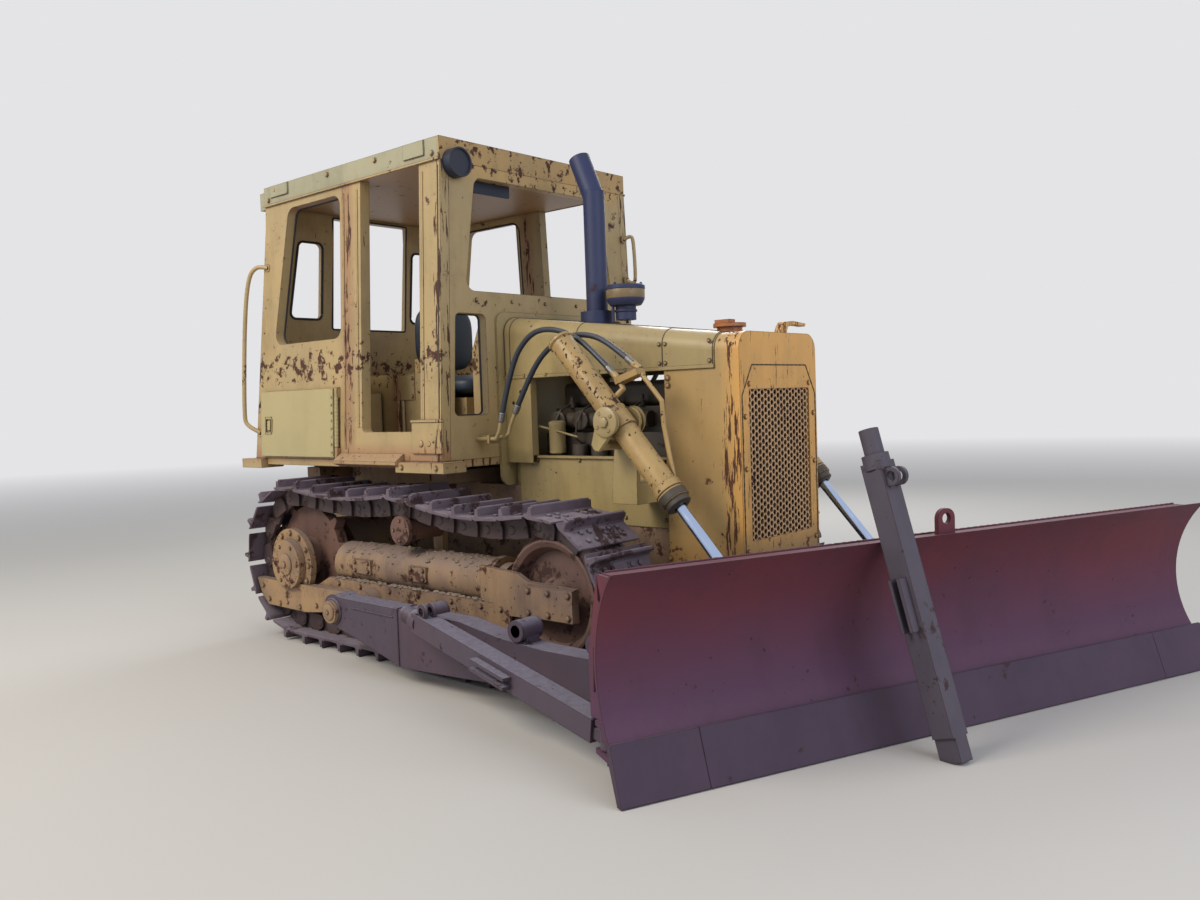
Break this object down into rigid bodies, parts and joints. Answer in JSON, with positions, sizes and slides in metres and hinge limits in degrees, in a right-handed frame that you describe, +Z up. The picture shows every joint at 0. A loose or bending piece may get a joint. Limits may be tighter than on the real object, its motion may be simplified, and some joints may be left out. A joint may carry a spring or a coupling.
{
  "type": "crawler bulldozer",
  "caption": "Crawler bulldozer with an open cab: steel tracks, an engine under a sloped hood, and an angled blade on a frame that swings up on two cylinders",
  "frame": {"origin": "middle of the bounding box on the ground under the tracks", "axes": "+X forward toward the blade, +Y to the machine's left, +Z up"},
  "size_m": [4.9752, 2.9883, 2.721],
  "materials": {
    "yellow_paint": "satin paint with dust, grime and worn edges",
    "rusty_paint": "old paint worn to red-brown rust",
    "worn_steel": "rusty steel, scuffed along the edge",
    "track_steel": "brown rust with dried mud",
    "dark_steel": "dark oily steel",
    "chrome_rod": "bright rod",
    "seat_cover": "black covering",
    "hose_rubber": "dull rubber",
    "black_plastic": "faded black"
  },
  "bodies": {
    "chassis": {"cab_floor": "yellow_paint", "cab_front": "yellow_paint", "cab_rear": "yellow_paint", "cab_roof": "yellow_paint", "cab_side_left": "yellow_paint", "cab_side_right": "yellow_paint", "consoles": "yellow_paint", "cowl": "yellow_paint", "cylinder_bracket_left": "yellow_paint", "cylinder_bracket_right": "yellow_paint", "drawbar": "yellow_paint", "engine": "dark_steel", "exhaust_stack": "dark_steel", "filler_cap": "yellow_paint", "final_drive_left": "yellow_paint", "final_drive_right": "yellow_paint", "grab_rails": "yellow_paint", "grille": "dark_steel", "hood": "yellow_paint", "hose_inner_left": "hose_rubber", "hose_inner_right": "hose_rubber", "hose_outer_left": "hose_rubber", "hose_outer_right": "hose_rubber", "idler_left": "track_steel", "idler_right": "track_steel", "lamp": "black_plastic", "lift_pipes": "yellow_paint", "main_frame": "yellow_paint", "precleaner": "yellow_paint", "radiator": "dark_steel", "radiator_guard": "yellow_paint", "rollers_left": "track_steel", "rollers_right": "track_steel", "seat_back": "seat_cover", "seat_cushion": "seat_cover", "seat_pedestal": "dark_steel", "side_panels": "yellow_paint", "sprocket_left": "track_steel", "sprocket_right": "track_steel", "sprocket_support_left": "yellow_paint", "sprocket_support_right": "yellow_paint", "tool_box_left": "yellow_paint", "tool_box_right": "yellow_paint", "track_frame_left": "yellow_paint", "track_frame_right": "yellow_paint", "track_left": "track_steel", "track_right": "track_steel", "visor": "black_plastic"},
    "blade_frame": {"c_frame": "yellow_paint"},
    "blade": {"blade_plate": "rusty_paint", "blade_back": "rusty_paint", "cutting_edge": "worn_steel", "left_brace": "yellow_paint"},
    "brace": {"right_brace": "yellow_paint"},
    "barrel_right": {"lift_barrel_right": "yellow_paint"},
    "barrel_left": {"lift_barrel_left": "yellow_paint"},
    "rod_right": {"lift_rod_right": "chrome_rod"},
    "rod_left": {"lift_rod_left": "chrome_rod"},
    "door_right": {"tool_door_right": "yellow_paint"},
    "door_left": {"tool_door_left": "yellow_paint"}
  },
  "joints": [
    {"name": "lift", "type": "hinge", "parent": "chassis", "child": "blade_frame", "pos_m": [-1.083, 0.188, 0.295], "axis": [0, -1, 0], "range_deg": [-8, 18]},
    {"name": "blade_swing", "type": "hinge", "parent": "blade_frame", "child": "blade", "pos_m": [1.342, 0.188, 0.245], "axis": [0, 0, 1], "range_deg": [0, 44]},
    {"name": "brace_swing", "type": "hinge", "parent": "blade", "child": "brace", "pos_m": [1.1187, -1.28566, 0.15], "axis": [0, 0, 1], "range_deg": [-33.86, 0.05]},
    {"name": "barrel_tilt_right", "type": "hinge", "parent": "chassis", "child": "barrel_right", "pos_m": [0.467, -0.442, 1.247], "axis": [0, -1, 0], "range_deg": [-12.68, 28.4], "deforming": ["hose_outer_right", "hose_inner_right"]},
    {"name": "barrel_tilt_left", "type": "hinge", "parent": "chassis", "child": "barrel_left", "pos_m": [0.467, 0.818, 1.247], "axis": [0, -1, 0], "range_deg": [-12.68, 28.4], "deforming": ["hose_outer_left", "hose_inner_left"]},
    {"name": "rod_slide_right", "type": "slide", "parent": "barrel_right", "child": "rod_right", "axis": [0.6645, 0, -0.7473], "range_m": [-0.5238, 0.2339]},
    {"name": "rod_slide_left", "type": "slide", "parent": "barrel_left", "child": "rod_left", "axis": [0.6645, 0, -0.7473], "range_m": [-0.5238, 0.2339]},
    {"name": "tool_door_right_hinge", "type": "hinge", "parent": "chassis", "child": "door_right", "pos_m": [-1.48, -0.61978, 1.26955], "axis": [0, 0.044, 0.999], "range_deg": [0, 110]},
    {"name": "tool_door_left_hinge", "type": "hinge", "parent": "chassis", "child": "door_left", "pos_m": [-1.48, 0.99578, 1.26955], "axis": [0, 0.044, -0.999], "range_deg": [0, 110]}
  ],
  "couplings": [
    {"joint": "brace_swing", "follows": "blade_swing", "ratio": -0.7684},
    {"joint": "barrel_tilt_right", "follows": "lift", "ratio": 1.572},
    {"joint": "rod_slide_right", "follows": "lift", "m_per_rad": -1.661},
    {"joint": "barrel_tilt_left", "follows": "lift", "ratio": 1.572},
    {"joint": "rod_slide_left", "follows": "lift", "m_per_rad": -1.661}
  ]
}
